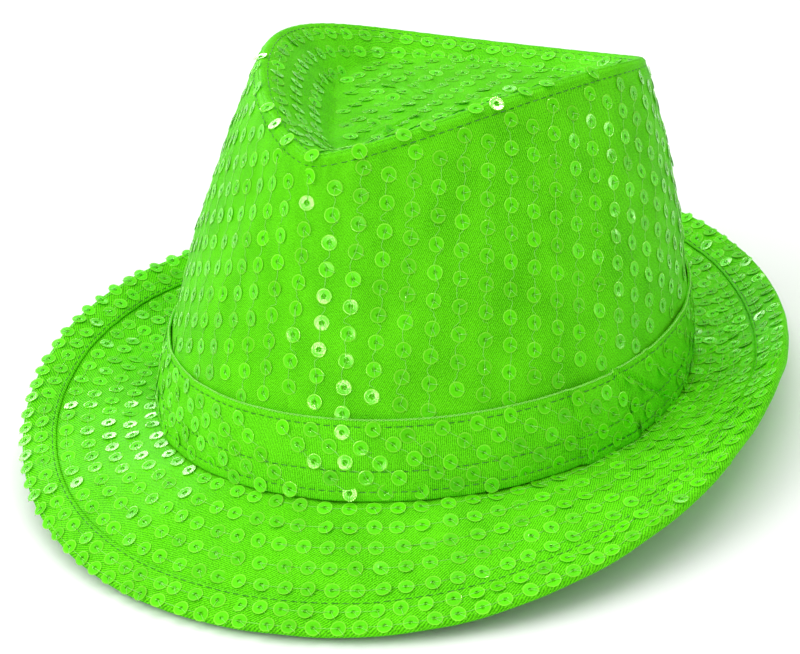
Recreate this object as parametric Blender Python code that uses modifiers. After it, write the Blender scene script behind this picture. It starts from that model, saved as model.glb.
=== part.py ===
"""Sequin fedora (trilby): the sewn cloth pieces of the hat, one named object each.

Units are metres, +Z is up and the front of the hat faces -Y. The hat is drawn
level about its head opening, then tipped back a little by its parent empty, so
that it rests on the front edge of its brim and on the brim behind its crown.
"""

import math

import bpy
from mathutils import Vector

HAT_NAME = "sequin_fedora"
COLUMNS = 40                    # facets around the hat
CROWN_ROWS = (0.15, 0.30, 0.45, 0.60, 0.75, 0.88)   # levels all the side layers share
DISH_ROWS = (0.0, 0.3, 0.55, 0.8, 1.0)              # steps down the dish's slope
GAP = 0.00035                   # clearance between touching pieces

# Foot of the crown, where it is sewn to the brim
FOOT_HALF_LENGTH = 0.102
FOOT_HALF_WIDTH = 0.085
FOOT_SADDLE = 0.0016            # the foot dips at the sides and lifts at front and back

# Crest of the crown: a teardrop seen from above, with its point at the front
CREST_FRONT = 0.0688
CREST_BACK = 0.0790
CREST_HALF_WIDTH = 0.0611
CREST_FRONT_POWER = 0.72
CREST_BACK_POWER = 0.30
CREST_CORNER = 0.010            # softens the point of the teardrop
CREST_FRONT_HEIGHT = 0.1017
CREST_BACK_HEIGHT = 0.0898
CREST_ARCH = 0.0132

# How the crown wall leans in from foot to crest
LEAN_SIDE = 1.69
LEAN_FRONT_BACK = -0.84
LEAN_BOTH_ENDS = 0.28

# The dish sunk into the top of the crown
DISH_SLOPE = 0.0205
DISH_SLOPE_FRONT_BACK = 0.0055
DISH_SLOPE_ENDS_SIDES = -0.0025
DISH_SHOULDER = 0.08            # part of the slope that stays near the crest's height
DISH_POWER = 1.22
DISH_CENTRE_Y = 0.012
DISH_FLOOR_FRONT = 0.0948
DISH_FLOOR_FALL = 0.0645          # the floor falls this much for each metre it runs back
DISH_LAYER_PITCH = 0.0020       # drop from one layer of the dish to the next

# Brim: its width and how far its edge rises above or drops below the foot
BRIM_WIDTH = 0.0384
BRIM_WIDTH_FRONT_BACK = 0.00445
BRIM_WIDTH_ENDS_SIDES = 0.0025
BRIM_WIDTH_QUARTERS = -0.0047
BRIM_RISE = 0.0007
BRIM_RISE_FRONT_BACK = -0.0144
BRIM_RISE_ENDS_SIDES = -0.0086
BRIM_RISE_THIRDS = -0.0015
BRIM_RISE_QUARTERS = 0.0021
BRIM_CURL = 1.6                 # 1 is straight; higher turns up nearer the edge
BRIM_CURL_FRONT_BACK = -0.5
BRIM_INNER_MARGIN = 0.0042      # brim cloth that runs in under the crown

# Cloth layers, measured inward from the outer face of the crown
CROWN_CLOTH = 0.0006
CROWN_STIFFENER = 0.0008
CROWN_LINING = 0.0004
SWEATBAND = 0.0008
SWEATBAND_HEIGHT = 0.028
BRIM_CLOTH = 0.0005
BRIM_STIFFENER = 0.0006
BINDING_CLOTH = 0.0004
BINDING_WIDTH = 0.012
BINDING_CLEARANCE = 0.0006      # the strip bridges the brim's facets

# Hat band and the folded end that covers its joint
BAND_CLOTH = 0.0009
BAND_HEIGHT = 0.0255
BAND_FOOT = 0.0012
TAB_FROM = math.radians(63.0)
TAB_TO = math.radians(81.0)

# Topstitching
THREAD_RADIUS = 0.0002
CREST_STITCH_OFFSET = 0.0035
BAND_STITCH_HEIGHTS = (0.0040, 0.0100, 0.0225)
BINDING_STITCH_REACH = 0.0105

# How the finished hat rests on a table
REST_TIP_BACK = math.radians(5.5)
REST_CENTRE_Y = -0.0002
REST_LIFT = 0.0110

GREEN_CLOTH = (0.120, 0.640, 0.018, 1.0)
GREEN_BAND = (0.105, 0.580, 0.016, 1.0)
GREEN_THREAD = (0.180, 0.720, 0.060, 1.0)
BUCKRAM = (0.780, 0.770, 0.720, 1.0)
LINING_BLACK = (0.020, 0.020, 0.022, 1.0)
SWEATBAND_BLACK = (0.030, 0.030, 0.032, 1.0)


def clear_scene():
    for obj in list(bpy.data.objects):
        bpy.data.objects.remove(obj, do_unlink=True)


def make_material(name, colour, roughness):
    material = bpy.data.materials.new(name)
    material.use_nodes = True
    shader = material.node_tree.nodes["Principled BSDF"]
    shader.inputs["Base Color"].default_value = colour
    shader.inputs["Roughness"].default_value = roughness
    shader.inputs["Metallic"].default_value = 0.0
    return material


def column_angles():
    """Angles around the hat, 0 at the front and growing towards +X."""
    return [2.0 * math.pi * i / COLUMNS for i in range(COLUMNS)]


def foot_point(angle):
    return Vector((FOOT_HALF_WIDTH * math.sin(angle),
                   -FOOT_HALF_LENGTH * math.cos(angle),
                   FOOT_SADDLE * math.cos(2.0 * angle)))


def foot_normal(angle):
    """Horizontal direction straight out of the foot ellipse."""
    return Vector((math.sin(angle) / FOOT_HALF_WIDTH,
                   -math.cos(angle) / FOOT_HALF_LENGTH, 0.0)).normalized()


def teardrop(along):
    """Half width of the crest outline; along runs 0 at the front to 1 at the back."""
    rear = max(1.0 - along, 0.0)
    return (math.sqrt(along) * (along + CREST_CORNER) ** (CREST_FRONT_POWER - 0.5)
            * math.sqrt(rear) * (rear + CREST_CORNER) ** (CREST_BACK_POWER - 0.5))


TEARDROP_WIDEST = max(teardrop(i / 400.0) for i in range(401))


def crest_point(angle):
    along = (1.0 - math.cos(angle)) / 2.0
    side = 1.0 if math.sin(angle) >= 0.0 else -1.0
    height = CREST_FRONT_HEIGHT + (CREST_BACK_HEIGHT - CREST_FRONT_HEIGHT) * along
    return Vector((side * CREST_HALF_WIDTH * teardrop(along) / TEARDROP_WIDEST,
                   -CREST_FRONT + (CREST_FRONT + CREST_BACK) * along,
                   height + CREST_ARCH * 4.0 * along * (1.0 - along)))


def crown_wall(angle, rise):
    """Outer face of the crown; rise runs 0 at the foot to 1 at the crest."""
    foot = foot_point(angle)
    crest = crest_point(angle)
    facing = math.cos(angle)
    lean = LEAN_SIDE + LEAN_FRONT_BACK * facing + LEAN_BOTH_ENDS * facing * facing
    inward = max(rise, 0.0) ** lean
    point = foot.lerp(crest, inward)
    point.z = foot.z + (crest.z - foot.z) * rise
    return point


def wall_rise(angle, height):
    """Rise on the crown wall of a point this high above the foot."""
    return height / (crest_point(angle).z - foot_point(angle).z)


def dish_slope(angle):
    """Plan length of the dish's sloping side, from the crest to its floor."""
    return (DISH_SLOPE + DISH_SLOPE_FRONT_BACK * math.cos(angle)
            + DISH_SLOPE_ENDS_SIDES * math.cos(2.0 * angle))


def dish_floor(y):
    return DISH_FLOOR_FRONT - DISH_FLOOR_FALL * (y + CREST_FRONT)


def dish_middle():
    return Vector((0.0, DISH_CENTRE_Y, dish_floor(DISH_CENTRE_Y)))


def crown_tip(angle, inward):
    """Upper face of the dish; inward runs 0 at the crest to 1 at its middle."""
    crest = crest_point(angle)
    point = crest.lerp(dish_middle(), inward)
    reach = (crest - dish_middle()).to_2d().length
    fall = min(inward * reach / dish_slope(angle), 1.0)
    level = max((fall - DISH_SHOULDER) / (1.0 - DISH_SHOULDER), 0.0) ** DISH_POWER
    point.z = crest.z + (dish_floor(point.y) - crest.z) * level
    return point


def brim_width(angle):
    return (BRIM_WIDTH + BRIM_WIDTH_FRONT_BACK * math.cos(angle)
            + BRIM_WIDTH_ENDS_SIDES * math.cos(2.0 * angle)
            + BRIM_WIDTH_QUARTERS * math.cos(3.0 * angle))


def brim_rise(angle):
    """Height of the brim's edge above the foot of the crown."""
    edge = (BRIM_RISE + BRIM_RISE_FRONT_BACK * math.cos(angle)
            + BRIM_RISE_ENDS_SIDES * math.cos(2.0 * angle)
            + BRIM_RISE_THIRDS * math.cos(3.0 * angle)
            + BRIM_RISE_QUARTERS * math.cos(4.0 * angle))
    return edge - foot_point(angle).z


def brim_curl(angle):
    return BRIM_CURL + BRIM_CURL_FRONT_BACK * math.cos(angle)


def brim_face(angle, outward):
    """Upper face of the brim, this far out from the foot of the crown in plan."""
    point = foot_point(angle) + foot_normal(angle) * outward
    along = max(outward, 0.0) / brim_width(angle)
    point.z += brim_rise(angle) * along ** brim_curl(angle)
    return point


def brim_outward(angle, reach):
    """Distance out from the foot of a point this far in from the brim's edge."""
    edge_slope = brim_rise(angle) * brim_curl(angle) / brim_width(angle)
    return brim_width(angle) - reach / math.hypot(1.0, edge_slope)


def lifted(face, angle, run, lift, step):
    """Point moved off a face along its normal; run is the face's second argument."""
    turn = 0.02
    across = face(angle + turn, run) - face(angle - turn, run)
    along = face(angle, run + step) - face(angle, run - step)
    normal = across.cross(along).normalized()
    return face(angle, run) + normal * lift


def wall_point(angle, rise, lift):
    return lifted(crown_wall, angle, rise, lift, 0.01)


def tip_point(angle, inward, lift):
    return crown_tip(angle, inward) + Vector((0.0, 0.0, lift))


def brim_point(angle, outward, lift):
    return lifted(brim_face, angle, outward, lift, -0.0005)


def link(obj, material, hat):
    obj.data.materials.append(material)
    hat["collection"].objects.link(obj)
    obj.parent = hat["rest"]
    return obj


def shell(name, rows, thickness, material, hat, closed=True, centre=None, even=False):
    """Cloth piece: rows of points, outer face first, thickened inward by Solidify.

    Each row holds one point for each column. Seen from outside, the columns run to
    the right and the rows run upward. A centre point closes the last row to a fan.
    """
    count = len(rows[0])
    points = [point for row in rows for point in row]
    faces = []
    spans = count if closed else count - 1
    for i in range(len(rows) - 1):
        for j in range(spans):
            k = (j + 1) % count
            low, high = i * count, (i + 1) * count
            faces.append((low + j, low + k, high + k, high + j))
    if centre is not None:
        last = (len(rows) - 1) * count
        points.append(centre)
        faces.extend((last + j, last + (j + 1) % count, len(points) - 1) for j in range(count))
    mesh = bpy.data.meshes.new(name)
    mesh.from_pydata(points, [], faces)
    mesh.shade_smooth()
    obj = bpy.data.objects.new(name, mesh)
    solidify = obj.modifiers.new("Cloth thickness", "SOLIDIFY")
    solidify.thickness = thickness
    solidify.offset = -1.0
    solidify.use_even_offset = even
    return link(obj, material, hat)


def thread(name, points, material, hat):
    """Closed run of topstitching."""
    curve = bpy.data.curves.new(name, "CURVE")
    curve.dimensions = "3D"
    curve.bevel_depth = THREAD_RADIUS
    curve.bevel_resolution = 0
    curve.resolution_u = 1
    curve.render_resolution_u = 1
    spline = curve.splines.new("POLY")
    spline.points.add(len(points) - 1)
    for slot, point in zip(spline.points, points):
        slot.co = (point.x, point.y, point.z, 1.0)
    spline.use_cyclic_u = True
    return link(bpy.data.objects.new(name, curve), material, hat)


def spaced(start, stop, count):
    return [start + (stop - start) * i / (count - 1) for i in range(count)]


def crown_side_layer(name, depth, thickness, foot_gap, crest_gap, material, hat):
    """One layer of the crown's side, this deep inside its outer face."""
    angles = column_angles()
    rows = [[wall_point(angle, wall_rise(angle, foot_gap), -depth) for angle in angles]]
    for rise in CROWN_ROWS:
        rows.append([wall_point(angle, rise, -depth) for angle in angles])
    rows.append([wall_point(angle, 1.0 - wall_rise(angle, crest_gap), -depth)
                 for angle in angles])
    return shell(name, rows, thickness, material, hat)


def crown_tip_layer(name, depth, thickness, edge_inset, material, hat):
    """One layer of the dished top, this deep below its upper face."""
    middle = dish_middle() - Vector((0.0, 0.0, depth))
    rows = []
    for step in DISH_ROWS:
        row = []
        for angle in column_angles():
            reach = (crest_point(angle) - middle).to_2d().length
            inset = max(edge_inset, dish_slope(angle) * step)
            row.append(tip_point(angle, inset / reach, -depth))
        rows.append(row)
    return shell(name, rows, thickness, material, hat, centre=middle)


def brim_layer(name, depth, thickness, material, hat):
    """One layer of the brim, this deep below its upper face."""
    rows = []
    for part in (1.0, 0.83, 0.66, 0.33, 0.03):
        rows.append([brim_point(angle, brim_width(angle) * part, -depth)
                     for angle in column_angles()])
    rows.append([brim_point(angle, -BRIM_INNER_MARGIN, -depth) for angle in column_angles()])
    return shell(name, rows, thickness, material, hat)


def brim_binding(material, hat):
    """Strip of cloth folded around the brim's edge."""
    brim_thickness = 2.0 * BRIM_CLOTH + BRIM_STIFFENER + 2.0 * GAP
    clear = BINDING_CLEARANCE + BINDING_CLOTH
    under = -(brim_thickness + clear)
    profile = ((BINDING_WIDTH, under), (0.5 * BINDING_WIDTH, under), (0.0, under),
               (-clear, under + clear), (-clear, 0.0),
               (0.0, clear), (0.5 * BINDING_WIDTH, clear), (BINDING_WIDTH, clear))
    rows = [[brim_point(angle, brim_outward(angle, reach), lift) for angle in column_angles()]
            for reach, lift in profile]
    return shell("brim_binding", rows, BINDING_CLOTH, material, hat, even=True)


def hat_band(material, hat):
    rows = [[wall_point(angle, wall_rise(angle, height), GAP + BAND_CLOTH)
             for angle in column_angles()]
            for height in spaced(BAND_FOOT, BAND_HEIGHT, 3)]
    return shell("hat_band", rows, BAND_CLOTH, material, hat)


def hat_band_tab(material, hat):
    """Folded end of the band, laid over the joint on the wearer's left."""
    lift = 2.0 * (GAP + BAND_CLOTH)
    angles = spaced(TAB_FROM, TAB_TO, 3)
    rows = [[wall_point(angle, wall_rise(angle, height), lift) for angle in angles]
            for height in spaced(BAND_FOOT + 0.0006, BAND_HEIGHT, 3)]
    return shell("hat_band_end_tab", rows, BAND_CLOTH, material, hat, closed=False)


def sweatband(material, hat):
    """Band inside the foot of the crown, next to the wearer's head."""
    depth = CROWN_CLOTH + CROWN_STIFFENER + CROWN_LINING + 3.0 * GAP
    rows = [[wall_point(angle, wall_rise(angle, height), -depth) for angle in column_angles()]
            for height in spaced(0.0024, SWEATBAND_HEIGHT, 3)]
    return shell("sweatband", rows, SWEATBAND, material, hat)


def crest_stitches(material, hat):
    """Two rows of topstitching, one each side of the crest seam."""
    lift = GAP + 1.3 * THREAD_RADIUS
    side = [wall_point(angle, 1.0 - wall_rise(angle, CREST_STITCH_OFFSET), lift)
            for angle in column_angles()]
    thread("crest_stitch_side", side, material, hat)
    tip = []
    for angle in column_angles():
        crest = crest_point(angle)
        reach = (crest - Vector((0.0, DISH_CENTRE_Y, crest.z))).length
        tip.append(tip_point(angle, CREST_STITCH_OFFSET / reach, lift))
    thread("crest_stitch_tip", tip, material, hat)


def band_stitches(material, hat):
    """Three rows of topstitching round the hat band, which pass over its end tab."""
    on_band = 2.0 * GAP + BAND_CLOTH + 1.3 * THREAD_RADIUS
    on_tab = on_band + GAP + BAND_CLOTH
    names = ("band_stitch_lower", "band_stitch_middle", "band_stitch_upper")
    for name, height in zip(names, BAND_STITCH_HEIGHTS):
        points = []
        for angle in column_angles():
            over_tab = TAB_FROM - 0.01 < angle < TAB_TO + 0.01
            lift = on_tab if over_tab else on_band
            points.append(wall_point(angle, wall_rise(angle, height), lift))
        thread(name, points, material, hat)


def binding_stitch(material, hat):
    """Row of topstitching that holds the binding to the brim."""
    lift = BINDING_CLEARANCE + BINDING_CLOTH + GAP + 1.3 * THREAD_RADIUS
    points = [brim_point(angle, brim_outward(angle, BINDING_STITCH_REACH), lift)
              for angle in column_angles()]
    thread("brim_binding_stitch", points, material, hat)


def rest_empty(collection):
    """Parent of every piece: tips the level hat back onto the table."""
    rest = bpy.data.objects.new("hat_rest", None)
    rest.rotation_euler = (-REST_TIP_BACK, 0.0, 0.0)
    rest.location = (0.0, REST_CENTRE_Y, REST_LIFT)
    collection.objects.link(rest)
    return rest


def build():
    clear_scene()
    collection = bpy.data.collections.new(HAT_NAME)
    bpy.context.scene.collection.children.link(collection)
    hat = {"collection": collection, "rest": rest_empty(collection)}

    cloth = make_material("green_sequin_cloth", GREEN_CLOTH, 0.42)
    band_cloth = make_material("green_band_cloth", GREEN_BAND, 0.45)
    stitching = make_material("green_thread", GREEN_THREAD, 0.55)
    buckram = make_material("buckram", BUCKRAM, 0.9)
    lining = make_material("black_lining", LINING_BLACK, 0.6)
    sweat_cloth = make_material("black_sweatband", SWEATBAND_BLACK, 0.75)

    stiffener_depth = CROWN_CLOTH + GAP
    lining_depth = stiffener_depth + CROWN_STIFFENER + GAP
    crown_side_layer("crown_side_panel", 0.0, CROWN_CLOTH, 0.0008, 0.0, cloth, hat)
    crown_side_layer("crown_side_stiffener", stiffener_depth, CROWN_STIFFENER,
                     0.0016, 0.0045, buckram, hat)
    crown_side_layer("crown_side_lining", lining_depth, CROWN_LINING,
                     0.0020, 0.0075, lining, hat)
    crown_tip_layer("crown_tip_panel", 0.0, CROWN_CLOTH, 0.0014, cloth, hat)
    crown_tip_layer("crown_tip_stiffener", DISH_LAYER_PITCH, CROWN_STIFFENER,
                    0.0030, buckram, hat)
    crown_tip_layer("crown_tip_lining", 2.0 * DISH_LAYER_PITCH, CROWN_LINING,
                    0.0045, lining, hat)

    brim_stiffener_depth = BRIM_CLOTH + GAP
    brim_under_depth = brim_stiffener_depth + BRIM_STIFFENER + GAP
    brim_layer("brim_top_panel", 0.0, BRIM_CLOTH, cloth, hat)
    brim_layer("brim_stiffener", brim_stiffener_depth, BRIM_STIFFENER, buckram, hat)
    brim_layer("brim_under_panel", brim_under_depth, BRIM_CLOTH, cloth, hat)
    brim_binding(cloth, hat)

    hat_band(band_cloth, hat)
    hat_band_tab(band_cloth, hat)
    sweatband(sweat_cloth, hat)
    crest_stitches(stitching, hat)
    band_stitches(stitching, hat)
    binding_stitch(stitching, hat)


build()
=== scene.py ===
"""Visual model of the green sequin fedora: cloth, sequins, threads and stitching.

Lengths are metres. Every piece is drawn level about the head opening, in the
same shape as the CAD model, and then laid back to rest on the table.
"""

import math

import bpy
import numpy as np
from mathutils import Matrix, Vector


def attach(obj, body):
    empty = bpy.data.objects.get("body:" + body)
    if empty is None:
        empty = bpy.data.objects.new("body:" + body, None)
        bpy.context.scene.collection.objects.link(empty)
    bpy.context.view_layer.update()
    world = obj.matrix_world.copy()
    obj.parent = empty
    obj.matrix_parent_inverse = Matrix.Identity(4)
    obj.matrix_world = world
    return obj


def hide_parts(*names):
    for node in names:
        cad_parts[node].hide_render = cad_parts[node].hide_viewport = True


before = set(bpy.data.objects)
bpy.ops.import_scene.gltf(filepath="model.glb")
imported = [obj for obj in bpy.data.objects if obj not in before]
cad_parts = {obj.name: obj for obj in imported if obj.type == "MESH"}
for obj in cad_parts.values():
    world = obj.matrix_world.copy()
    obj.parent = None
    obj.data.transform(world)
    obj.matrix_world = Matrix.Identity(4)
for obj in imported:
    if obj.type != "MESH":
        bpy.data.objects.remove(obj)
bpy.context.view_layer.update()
rng = np.random.default_rng(7)

# Shape of the hat, as in the CAD model
FOOT_HALF_LENGTH = 0.102
FOOT_HALF_WIDTH = 0.085
FOOT_SADDLE = 0.0016
CREST_FRONT = 0.0688
CREST_BACK = 0.0790
CREST_HALF_WIDTH = 0.0611
CREST_FRONT_POWER = 0.72
CREST_BACK_POWER = 0.30
CREST_CORNER = 0.010
CREST_FRONT_HEIGHT = 0.1017
CREST_BACK_HEIGHT = 0.0898
CREST_ARCH = 0.0132
LEAN_SIDE = 1.69
LEAN_FRONT_BACK = -0.84
LEAN_BOTH_ENDS = 0.28
DISH_SLOPE = (0.0205, 0.0055, -0.0025)
DISH_SHOULDER = 0.08            # part of the slope that stays near the crest's height
DISH_POWER = 1.22
DISH_FLOOR_FRONT = 0.0948
DISH_FLOOR_FALL = 0.0645
DISH_CENTRE_Y = 0.012
BRIM_WIDTH = (0.0384, 0.00445, 0.0025, -0.0047)
BRIM_RISE = (0.0007, -0.0144, -0.0086, -0.0015, 0.0021)
BRIM_CURL = (1.6, -0.5)           # 1 is straight; higher turns up nearer the edge
REST_TIP_BACK = math.radians(5.5)
REST_CENTRE_Y = -0.0002
REST_LIFT = 0.0110

# Cloth and trim
MEAN_RADIUS = 0.093
CLOTH = 0.0005
BRIM_THICKNESS = 0.0023
BAND_HEIGHT = 0.0262
BAND_STAND_OFF = 0.0013
BAND_STITCH_ROWS = (0.0035, 0.0100, 0.0240)   # heights up the band
BAND_ROW_PITCH = 0.0115
BAND_ROW_COUNT = 5
BAND_ROW_TOP = 0.0222
BAND_STEP_ALONG = 0.0062
BAND_STEP_DOWN = 0.0047
TAB_FROM = math.radians(63.0)
TAB_TO = math.radians(80.0)
TAB_SLANT = 0.11
TAB_LIFT = 0.0011
BAND_CREASES = ((1.475, 12.0, 0.0011), (1.335, 3.0, 0.0007), (1.60, 9.0, 0.0006))
BINDING_WIDTH = 0.012
BINDING_OVERHANG = 0.0007         # how far the edge row of sequins wanders in and out
BINDING_OVERHANG_AT = math.radians(310.0)
WELT_HALF = 0.0034              # from the crest seam to each row of topstitching
CREST_ROUND = 0.0030
BINDING_EDGE = 0.0014             # how far the bound edge rounds out past the brim
LINING_THICKNESS = 0.0003
LINING_DEPTH = 0.0022             # from the crown's outer face to each inner cloth
SWEATBAND_DEPTH = 0.0030
TIP_LINING_DROP = 0.0036

# Unevenness of the cloth
WELT_HEIGHT = 0.00035
WELT_SINK = 0.00030
BINDING_SINK = 0.00012
STITCH_SINK_WIDTH = 0.0012
CROWN_UNEVENNESS = 0.0006
BRIM_UNEVENNESS = 0.0005
BAND_UNEVENNESS = 0.0004

# Sequins: flat discs with a hole, sewn down in columns
SEQUIN_RADIUS = 0.0025
SEQUIN_HOLE = 0.00055
SEQUIN_LIFT = 0.00018
SEQUIN_SEGMENTS = 20
SEQUIN_OPACITY = 0.76             # the plastic film lets some of the cloth show
COLUMN_PITCH = 0.0094
SEQUIN_PITCH = 0.0081
COLUMN_TAPER = 0.10               # the columns close up by this part toward the crest
MOST_COLUMNS = 40
CREST_MARGIN = WELT_HALF + 0.0030   # from the crest to the first sequins below it
BACK_SEAM_MARGIN = 0.003
BAND_MARGIN = 0.0015
TIP_ROW_PITCH = 0.0078
TIP_ROWS_EACH_SIDE = 7
TIP_ROWS_START = -0.066
TIP_ROWS_LENGTH = 40
DISH_FLOOR_MARGIN = 0.0022
DISH_RINGS = (0.0062, 0.0122, 0.0182)
DISH_RING_PITCH = 0.0076
DISH_RING_MARGIN = 0.0006
CREST_DISC_PITCH = 0.0125
CREST_DISCS_FROM = math.radians(-80.0)
CREST_DISCS_TO = math.radians(100.0)
BRIM_ROW_COUNT = 5
BRIM_ROW_PITCH = 0.0077
BRIM_ROWS_OUTER = BINDING_WIDTH + 0.0018
BRIM_ROWS_INNER = 0.0030
BINDING_RINGS = (0.0023, 0.0078)
BINDING_RING_PITCH = 0.0074
BINDING_UNDER_RINGS = (-0.0045, -0.0095)
BINDING_UNDER_RING_PITCH = 0.0080

# How far the sequins of each piece lean at random, in radians
CROWN_LEAN = 0.035
TIP_LEAN = 0.045
DISH_WALL_LEAN = 0.05
CREST_LEAN = 0.05
BRIM_LEAN = 0.07
BRIM_UNDER_LEAN = 0.05
BINDING_LEAN = 0.09
BINDING_UNDER_LEAN = 0.08
BAND_LEAN = 0.05

# Threads
SEW_THREAD = 0.00008
TOPSTITCH_THREAD = 0.00012
OVERLOCK_TWIST = 0.0030
OVERLOCK_RADIUS = 0.00022
STITCH_LENGTH = 0.0024
STITCH_PITCH = 0.0032

# Tints
SHEEN_TINT = (0.45, 1.0, 0.18, 1.0)
# Pale green of the cloth flecks, partly fibres and partly painted sheen
FIBRE_AND_SHEEN_GREEN = (0.235, 0.880, 0.055, 1.0)
GLINT_TINT = (0.66, 1.0, 0.42, 1.0)

# Camera, in the level frame of the hat
CAMERA_AZIMUTH = math.radians(28.13)
CAMERA_ELEVATION = math.radians(23.77)
CAMERA_ROLL = math.radians(-3.24)
CAMERA_DISTANCE = 1.0738
CAMERA_AIM = Vector((-0.0099, 0.0004, 0.0139))
CAMERA_LENS = 144.3
CAMERA_SENSOR = 36.0

# Soft lights: name, place, width, power
SOFT_LIGHTS = (
    ("key_left", (-1.6, -1.3, 1.5), 2.2, 33.0),
    ("fill_right", (1.7, -1.5, 0.8), 1.6, 7.0),
    ("top", (-0.1, 0.4, 2.2), 2.6, 24.0),
)
# Glint lights: name, azimuth, elevation, distance, width, height, turn, power
GLINT_LIGHTS = (
    ("strip_front", 0.5, 13.0, 1.5, 0.24, 0.88, 69.0, 32.0),
    ("strip_right", 125.0, 2.0, 1.2, 0.24, 0.16, 0.0, 2.6),
    ("strip_back", 199.0, 34.0, 1.5, 0.30, 0.09, 0.0, 1.0),
    ("strip_left_back", 238.0, 22.0, 1.5, 0.80, 0.50, 0.0, 15.0),
    ("small_overhead", 107.0, 64.0, 1.5, 0.26, 0.26, 0.0, 40.0),
)
LIGHT_TARGET = (0.0, 0.0, 0.06)
GLINT_TARGET = Vector((0.0, 0.0, 0.05))
FLOOR_SIZE = 24.0
FLOOR_HEIGHT = -0.0006
FLOOR_FADE_FROM = 0.35            # beyond here the floor pales into the white backdrop
FLOOR_FADE_TO = 0.90

REST = (Matrix.Translation((0.0, REST_CENTRE_Y, REST_LIFT))
        @ Matrix.Rotation(-REST_TIP_BACK, 4, "X"))


# ---------------------------------------------------------------- surfaces

def harmonics(angle, values):
    """Sum of values[n] * cos(n * angle), which is symmetric left and right."""
    return sum(value * np.cos(order * angle) for order, value in enumerate(values))


def points(x, y, z):
    return np.stack(np.broadcast_arrays(x, y, z), -1).astype(float)


def unit(vectors):
    return vectors / np.linalg.norm(vectors, axis=-1, keepdims=True)


def smooth(value):
    value = np.clip(value, 0.0, 1.0)
    return value * value * (3.0 - 2.0 * value)


def bump(distance, width):
    """Soft hump, 1 at distance 0 and 0 beyond the width."""
    return np.cos(np.clip(np.abs(distance) / width, 0.0, 1.0) * math.pi / 2.0) ** 2


def foot_point(angle):
    return points(FOOT_HALF_WIDTH * np.sin(angle), -FOOT_HALF_LENGTH * np.cos(angle),
                  FOOT_SADDLE * np.cos(2.0 * angle))


def foot_normal(angle):
    return unit(points(np.sin(angle) / FOOT_HALF_WIDTH, -np.cos(angle) / FOOT_HALF_LENGTH, 0.0))


def teardrop(along):
    """Half width of the crest outline, from its front at 0 to its back at 1."""
    along = np.clip(along, 0.0, 1.0)
    rear = 1.0 - along
    return (np.sqrt(along) * (along + CREST_CORNER) ** (CREST_FRONT_POWER - 0.5)
            * np.sqrt(rear) * (rear + CREST_CORNER) ** (CREST_BACK_POWER - 0.5))


TEARDROP_WIDEST = teardrop(np.linspace(0.0, 1.0, 401)).max()


def crest_point(angle):
    """Point on the seam between the crown's side and its top."""
    along = (1.0 - np.cos(angle)) / 2.0
    height = CREST_FRONT_HEIGHT + (CREST_BACK_HEIGHT - CREST_FRONT_HEIGHT) * along
    half_width = CREST_HALF_WIDTH * teardrop(along) / TEARDROP_WIDEST
    return points(np.sign(np.sin(angle)) * half_width,
                  -CREST_FRONT + (CREST_FRONT + CREST_BACK) * along,
                  height + CREST_ARCH * 4.0 * along * (1.0 - along))


def crown_wall(angle, rise):
    """Side of the crown, where rise runs 0 at the foot to 1 at the crest."""
    foot, crest = foot_point(angle), crest_point(angle)
    facing = np.cos(angle)
    lean = LEAN_SIDE + LEAN_FRONT_BACK * facing + LEAN_BOTH_ENDS * facing * facing
    inward = np.maximum(rise, 0.0) ** lean
    level = np.stack(np.broadcast_arrays(inward, inward, rise), -1)
    return foot + (crest - foot) * level


def wall_length_table():
    """Angles round the crown and the length of its wall at each."""
    angles = np.linspace(-math.pi, math.pi, 721)
    rises = np.linspace(0.0, 1.0, 60)
    wall = crown_wall(angles[None, :], rises[:, None])
    return angles, np.linalg.norm(np.diff(wall, axis=0), axis=-1).sum(0)


WALL_ANGLES, WALL_LENGTHS = wall_length_table()


def wrap(angle):
    return (np.asarray(angle) + math.pi) % (2.0 * math.pi) - math.pi


def wall_length(angle):
    """Length of the crown wall from foot to crest."""
    return np.interp(wrap(angle), WALL_ANGLES, WALL_LENGTHS)


def dish_slope(angle):
    return harmonics(angle, DISH_SLOPE)


def dish_reach(angle):
    """Plan distance from the crest to the middle of the dish."""
    crest = crest_point(angle)
    return np.hypot(crest[..., 0], crest[..., 1] - DISH_CENTRE_Y)


def crown_tip(angle, inset):
    """Dished top of the crown, this far in from the crest in plan."""
    crest = crest_point(angle)
    inward = inset / dish_reach(angle)
    x = crest[..., 0] * (1.0 - inward)
    y = crest[..., 1] + (DISH_CENTRE_Y - crest[..., 1]) * inward
    floor = DISH_FLOOR_FRONT - DISH_FLOOR_FALL * (y + CREST_FRONT)
    fall = np.clip(inset / dish_slope(angle), 0.0, 1.0)
    level = np.clip((fall - DISH_SHOULDER) / (1.0 - DISH_SHOULDER), 0.0, 1.0) ** DISH_POWER
    return points(x, y, crest[..., 2] + (floor - crest[..., 2]) * level)


def crown(angle, run):
    """Crown surface: run is negative down the wall and positive in over the dish."""
    length = wall_length(angle)
    wall = crown_wall(angle, 1.0 + np.minimum(run, 0.0) / length)
    tip = crown_tip(angle, np.maximum(run, 0.0))
    below = crown_wall(angle, 1.0 - CREST_ROUND / length)
    inside = crown_tip(angle, CREST_ROUND)
    turn = np.clip((run + CREST_ROUND) / (2.0 * CREST_ROUND), 0.0, 1.0)[..., None]
    rounded = ((1.0 - turn) ** 2 * below + 2.0 * turn * (1.0 - turn) * crest_point(angle)
               + turn ** 2 * inside)
    flat = np.where((np.asarray(run) < 0.0)[..., None], wall, tip)
    return np.where((np.abs(run) < CREST_ROUND)[..., None], rounded, flat)


def brim_width(angle):
    return harmonics(angle, BRIM_WIDTH)


def brim_drop(angle):
    """Height of the brim's edge above its foot; negative where the brim dips."""
    return harmonics(angle, BRIM_RISE) - FOOT_SADDLE * np.cos(2.0 * angle)


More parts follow.
